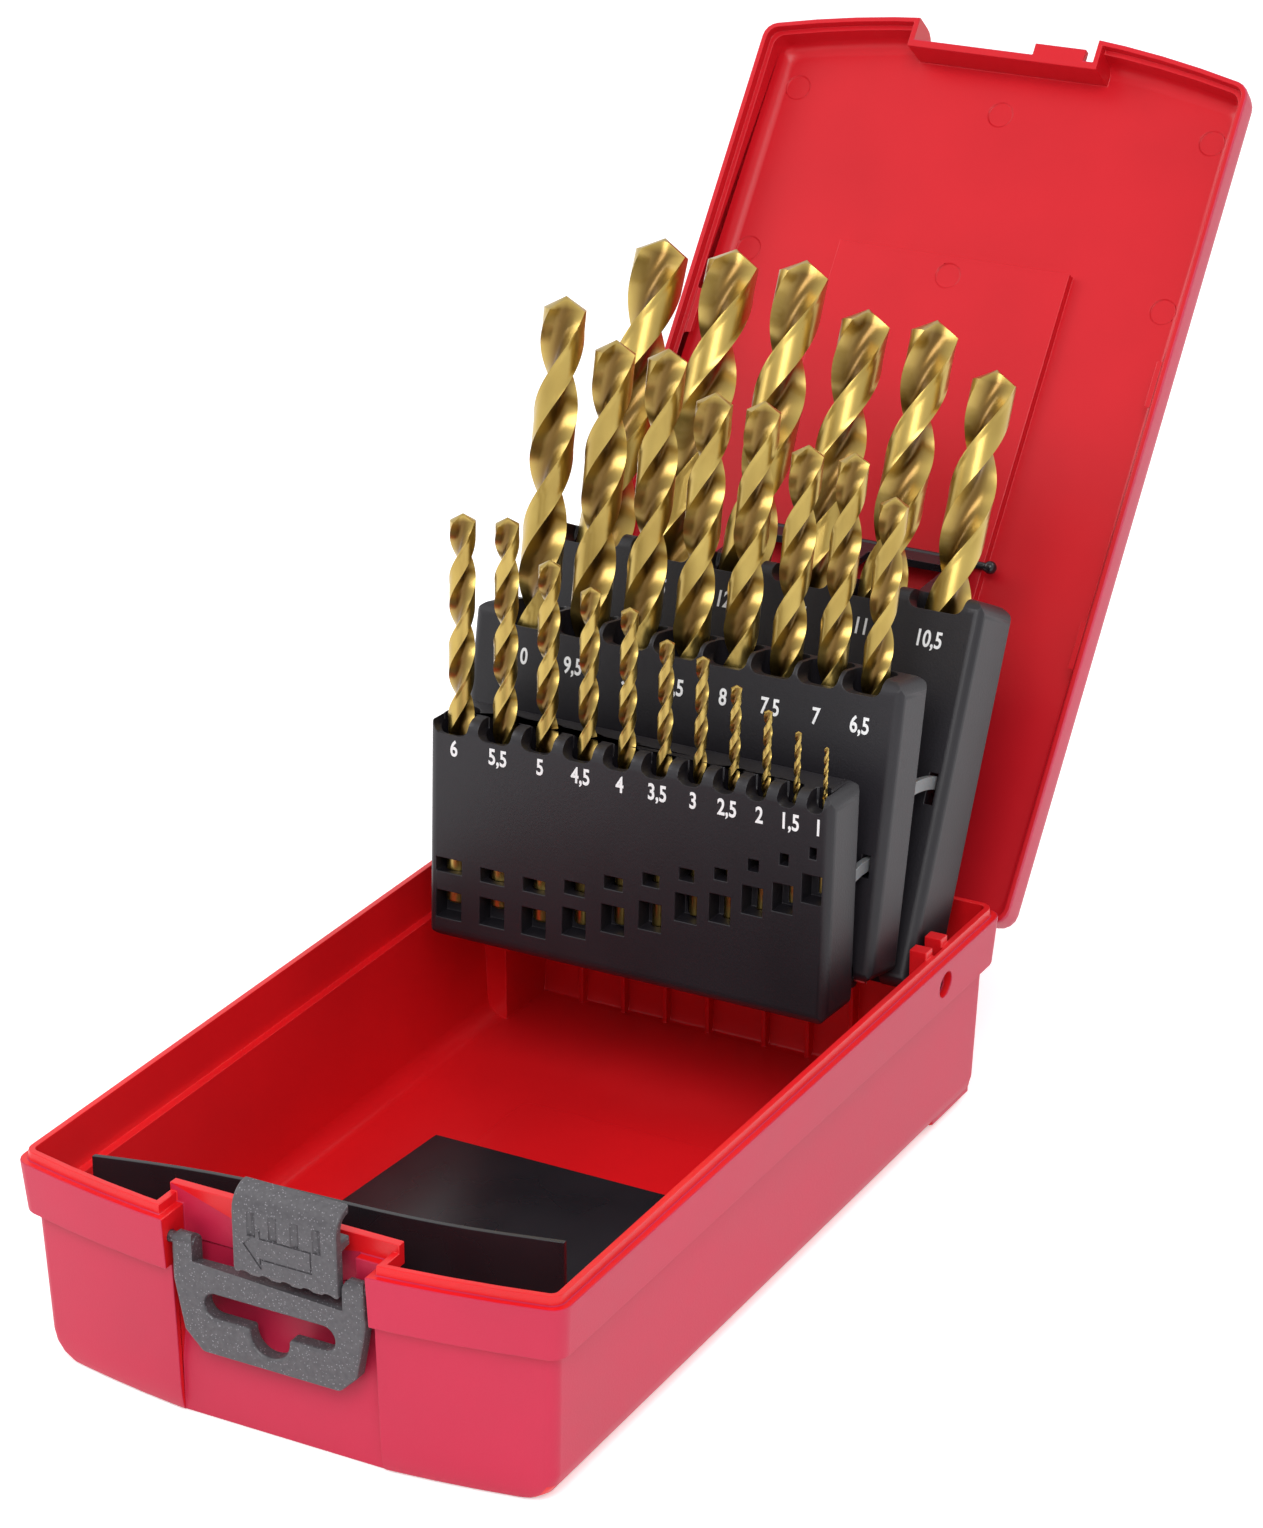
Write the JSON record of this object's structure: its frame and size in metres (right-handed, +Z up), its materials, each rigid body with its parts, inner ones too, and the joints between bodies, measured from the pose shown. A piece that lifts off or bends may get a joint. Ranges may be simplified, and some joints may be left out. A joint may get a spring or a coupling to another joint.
{
  "type": "drill bit case",
  "caption": "Hinged plastic case whose lid raises fanned insert blocks that hold twist drills in graded sockets.",
  "frame": {"origin": "middle of the base's flat underside", "axes": "X along the lid hinge, +Y from the latch towards the hinge, +Z up"},
  "size_m": [0.13, 0.3529, 0.2165],
  "materials": {
    "case_red": "satin moulded",
    "insert_black": "fine-textured moulded",
    "liner_black": "smooth sheet",
    "link_black": "moulded",
    "latch_grey": "speckled moulded",
    "strap_white": "natural",
    "pin_steel": "drawn wire",
    "drill_gold": "nitride coated"
  },
  "bodies": {
    "base": {"base_shell": "case_red", "hinge_pins": "pin_steel", "tip_pad": "liner_black", "floor_pad": "liner_black"},
    "lid": {"lid_shell": "case_red"},
    "latch_slider": {"latch_slider": "latch_grey"},
    "hang_tab": {"hang_tab": "latch_grey"},
    "rear_insert": {"insert_rear": "insert_black", "insert_pivot_pins": "pin_steel", "hinge_wire_rear": "pin_steel", "link_rod": "pin_steel"},
    "middle_insert": {"insert_middle": "insert_black", "lugs_middle": "insert_black", "hinge_wire_front": "pin_steel", "check_arms_rear": "strap_white"},
    "front_insert": {"insert_front": "insert_black", "lugs_front": "insert_black", "check_arms_front": "strap_white"},
    "lift_link": {"lift_link": "link_black"},
    "drill_06_0": {"drill_06_0": "drill_gold"},
    "drill_05_5": {"drill_05_5": "drill_gold"},
    "drill_05_0": {"drill_05_0": "drill_gold"},
    "drill_04_5": {"drill_04_5": "drill_gold"},
    "drill_04_0": {"drill_04_0": "drill_gold"},
    "drill_03_5": {"drill_03_5": "drill_gold"},
    "drill_03_0": {"drill_03_0": "drill_gold"},
    "drill_02_5": {"drill_02_5": "drill_gold"},
    "drill_02_0": {"drill_02_0": "drill_gold"},
    "drill_01_5": {"drill_01_5": "drill_gold"},
    "drill_01_0": {"drill_01_0": "drill_gold"},
    "drill_10_0": {"drill_10_0": "drill_gold"},
    "drill_09_5": {"drill_09_5": "drill_gold"},
    "drill_09_0": {"drill_09_0": "drill_gold"},
    "drill_08_5": {"drill_08_5": "drill_gold"},
    "drill_08_0": {"drill_08_0": "drill_gold"},
    "drill_07_5": {"drill_07_5": "drill_gold"},
    "drill_07_0": {"drill_07_0": "drill_gold"},
    "drill_06_5": {"drill_06_5": "drill_gold"},
    "drill_13_0": {"drill_13_0": "drill_gold"},
    "drill_12_5": {"drill_12_5": "drill_gold"},
    "drill_12_0": {"drill_12_0": "drill_gold"},
    "drill_11_5": {"drill_11_5": "drill_gold"},
    "drill_11_0": {"drill_11_0": "drill_gold"},
    "drill_10_5": {"drill_10_5": "drill_gold"}
  },
  "joints": [
    {"name": "lid_hinge", "type": "hinge", "parent": "base", "child": "lid", "pos_m": [0, 0.1054, 0.0466], "axis": [-1, 0, 0], "range_deg": [-127.5, 0]},
    {"name": "rear_insert_tilt", "type": "hinge", "parent": "base", "child": "rear_insert", "pos_m": [0, 0.0724, 0.0414], "axis": [-1, 0, 0], "range_deg": [-115, 0]},
    {"name": "middle_insert_fan", "type": "hinge", "parent": "rear_insert", "child": "middle_insert", "pos_m": [0, 0.07104, 0.04369], "axis": [-1, 0, 0], "range_deg": [0, 13]},
    {"name": "front_insert_fan", "type": "hinge", "parent": "middle_insert", "child": "front_insert", "pos_m": [0, 0.05627, 0.04683], "axis": [-1, 0, 0], "range_deg": [0, 9]},
    {"name": "lift_link_swing", "type": "hinge", "parent": "rear_insert", "child": "lift_link", "pos_m": [0, 0.11512, 0.10533], "axis": [-1, 0, 0], "range_deg": [-63.1, 0]},
    {"name": "latch_slide", "type": "slide", "parent": "base", "child": "latch_slider", "axis": [1, 0, 0], "range_m": [-0.0102, 0]},
    {"name": "hang_tab_swing", "type": "hinge", "parent": "base", "child": "hang_tab", "pos_m": [0, -0.1061, 0.0419], "axis": [-1, 0, 0], "range_deg": [0, 90]},
    {"name": "drill_06_0_pull", "type": "slide", "parent": "front_insert", "child": "drill_06_0", "axis": [0, 0.0523, 0.9986], "range_m": [0, 0.045]},
    {"name": "drill_05_5_pull", "type": "slide", "parent": "front_insert", "child": "drill_05_5", "axis": [0, 0.0523, 0.9986], "range_m": [0, 0.045]},
    {"name": "drill_05_0_pull", "type": "slide", "parent": "front_insert", "child": "drill_05_0", "axis": [0, 0.0523, 0.9986], "range_m": [0, 0.045]},
    {"name": "drill_04_5_pull", "type": "slide", "parent": "front_insert", "child": "drill_04_5", "axis": [0, 0.0523, 0.9986], "range_m": [0, 0.045]},
    {"name": "drill_04_0_pull", "type": "slide", "parent": "front_insert", "child": "drill_04_0", "axis": [0, 0.0523, 0.9986], "range_m": [0, 0.045]},
    {"name": "drill_03_5_pull", "type": "slide", "parent": "front_insert", "child": "drill_03_5", "axis": [0, 0.0523, 0.9986], "range_m": [0, 0.045]},
    {"name": "drill_03_0_pull", "type": "slide", "parent": "front_insert", "child": "drill_03_0", "axis": [0, 0.0523, 0.9986], "range_m": [0, 0.045]},
    {"name": "drill_02_5_pull", "type": "slide", "parent": "front_insert", "child": "drill_02_5", "axis": [0, 0.0523, 0.9986], "range_m": [0, 0.045]},
    {"name": "drill_02_0_pull", "type": "slide", "parent": "front_insert", "child": "drill_02_0", "axis": [0, 0.0523, 0.9986], "range_m": [0, 0.045]},
    {"name": "drill_01_5_pull", "type": "slide", "parent": "front_insert", "child": "drill_01_5", "axis": [0, 0.0523, 0.9986], "range_m": [0, 0.045]},
    {"name": "drill_01_0_pull", "type": "slide", "parent": "front_insert", "child": "drill_01_0", "axis": [0, 0.0523, 0.9986], "range_m": [0, 0.045]},
    {"name": "drill_10_0_pull", "type": "slide", "parent": "middle_insert", "child": "drill_10_0", "axis": [0, 0.2079, 0.9781], "range_m": [0, 0.061]},
    {"name": "drill_09_5_pull", "type": "slide", "parent": "middle_insert", "child": "drill_09_5", "axis": [0, 0.2079, 0.9781], "range_m": [0, 0.061]},
    {"name": "drill_09_0_pull", "type": "slide", "parent": "middle_insert", "child": "drill_09_0", "axis": [0, 0.2079, 0.9781], "range_m": [0, 0.061]},
    {"name": "drill_08_5_pull", "type": "slide", "parent": "middle_insert", "child": "drill_08_5", "axis": [0, 0.2079, 0.9781], "range_m": [0, 0.061]},
    {"name": "drill_08_0_pull", "type": "slide", "parent": "middle_insert", "child": "drill_08_0", "axis": [0, 0.2079, 0.9781], "range_m": [0, 0.061]},
    {"name": "drill_07_5_pull", "type": "slide", "parent": "middle_insert", "child": "drill_07_5", "axis": [0, 0.2079, 0.9781], "range_m": [0, 0.061]},
    {"name": "drill_07_0_pull", "type": "slide", "parent": "middle_insert", "child": "drill_07_0", "axis": [0, 0.2079, 0.9781], "range_m": [0, 0.061]},
    {"name": "drill_06_5_pull", "type": "slide", "parent": "middle_insert", "child": "drill_06_5", "axis": [0, 0.2079, 0.9781], "range_m": [0, 0.061]},
    {"name": "drill_13_0_pull", "type": "slide", "parent": "rear_insert", "child": "drill_13_0", "axis": [0, 0.4226, 0.9063], "range_m": [0, 0.08]},
    {"name": "drill_12_5_pull", "type": "slide", "parent": "rear_insert", "child": "drill_12_5", "axis": [0, 0.4226, 0.9063], "range_m": [0, 0.08]},
    {"name": "drill_12_0_pull", "type": "slide", "parent": "rear_insert", "child": "drill_12_0", "axis": [0, 0.4226, 0.9063], "range_m": [0, 0.08]},
    {"name": "drill_11_5_pull", "type": "slide", "parent": "rear_insert", "child": "drill_11_5", "axis": [0, 0.4226, 0.9063], "range_m": [0, 0.08]},
    {"name": "drill_11_0_pull", "type": "slide", "parent": "rear_insert", "child": "drill_11_0", "axis": [0, 0.4226, 0.9063], "range_m": [0, 0.08]},
    {"name": "drill_10_5_pull", "type": "slide", "parent": "rear_insert", "child": "drill_10_5", "axis": [0, 0.4226, 0.9063], "range_m": [0, 0.08]}
  ],
  "couplings": [
    {"joint": "rear_insert_tilt", "follows": "lid_hinge", "ratio": 0.90196},
    {"joint": "middle_insert_fan", "follows": "lid_hinge", "ratio": -0.10196},
    {"joint": "front_insert_fan", "follows": "lid_hinge", "ratio": -0.070588},
    {"joint": "lift_link_swing", "follows": "lid_hinge", "ratio": 0.4949}
  ]
}
